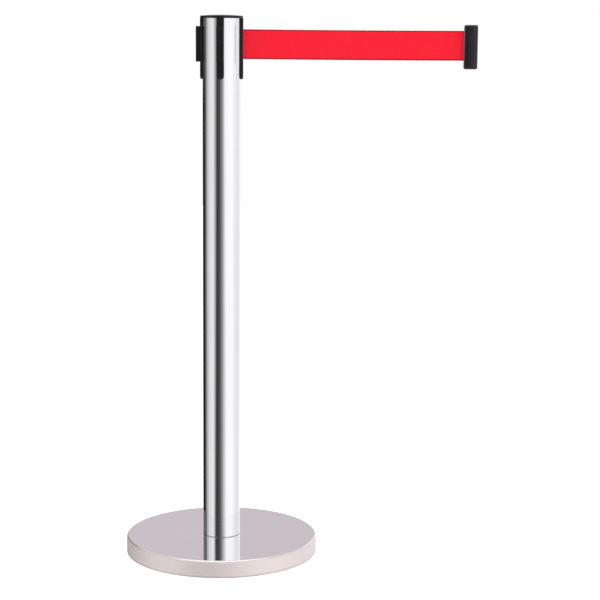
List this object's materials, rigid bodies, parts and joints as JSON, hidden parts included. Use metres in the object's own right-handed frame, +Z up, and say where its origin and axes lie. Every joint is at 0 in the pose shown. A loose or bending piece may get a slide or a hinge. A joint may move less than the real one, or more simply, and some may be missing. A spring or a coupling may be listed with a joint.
{
  "type": "retractable belt stanchion",
  "caption": "Free-standing post on a round weighted base. A belt pulls out of its head on a spring and ends in a clip that hooks onto another post's receiver.",
  "frame": {"origin": "centre of the base's underside, on the floor, on the post's axis", "axes": "+Z up along the post, +X the way the belt pulls out, +Y towards the back receiver"},
  "size_m": [0.583, 0.325, 0.91],
  "materials": {
    "tube_steel": "polished",
    "base_steel": "polished",
    "concrete": "matte",
    "rubber": "matte",
    "zinc_steel": "satin",
    "spring_steel": "satin",
    "bush_brass": "satin",
    "screw_black": "satin",
    "black_plastic": "satin",
    "clip_plastic": "satin",
    "inner_plastic": "matte",
    "spool_plastic": "satin",
    "belt_webbing": "matte"
  },
  "bodies": {
    "post": {"base_cover": "base_steel", "base_weight": "concrete", "floor_ring": "rubber", "clamp_washer": "zinc_steel", "lock_washer": "zinc_steel", "base_bolt": "zinc_steel", "tube_plug": "zinc_steel", "post_tube": "tube_steel", "cassette_floor": "inner_plastic", "floor_screws": "zinc_steel", "lower_bush": "bush_brass", "spring_barrel": "inner_plastic", "barrel_lid": "inner_plastic", "spring_anchor": "zinc_steel", "power_spring": "spring_steel", "cassette_shell": "inner_plastic", "cassette_lid": "inner_plastic", "upper_bush": "bush_brass", "head_cap": "black_plastic", "cap_screws": "screw_black", "belt_outlet": "black_plastic", "guide_pins": "zinc_steel", "receiver_back": "black_plastic", "receiver_left": "black_plastic", "receiver_front": "black_plastic"},
    "clip": {"clip_body": "clip_plastic", "belt_pin": "zinc_steel", "clip_plug": "clip_plastic", "belt_run": "belt_webbing"},
    "spool": {"spool_core": "spool_plastic", "upper_flange": "spool_plastic", "spool_shaft": "zinc_steel", "cross_pin": "zinc_steel", "retaining_ring": "spring_steel", "belt_roll": "belt_webbing"}
  },
  "joints": [
    {"name": "clip_slide", "type": "slide", "parent": "post", "child": "clip", "axis": [1, 0, 0], "range_m": [-0.3625, 1.637], "stiffness_N_per_m": 3, "springref_m": -1.5, "deforming": ["belt_run"]},
    {"name": "spool_spin", "type": "hinge", "parent": "post", "child": "spool", "pos_m": [0, 0, 0.8624], "axis": [0, 0, 1], "range_deg": [-1015, 4580], "deforming": ["power_spring"]}
  ],
  "couplings": [
    {"joint": "spool_spin", "follows": "clip_slide", "rad_per_m": 48.78}
  ]
}
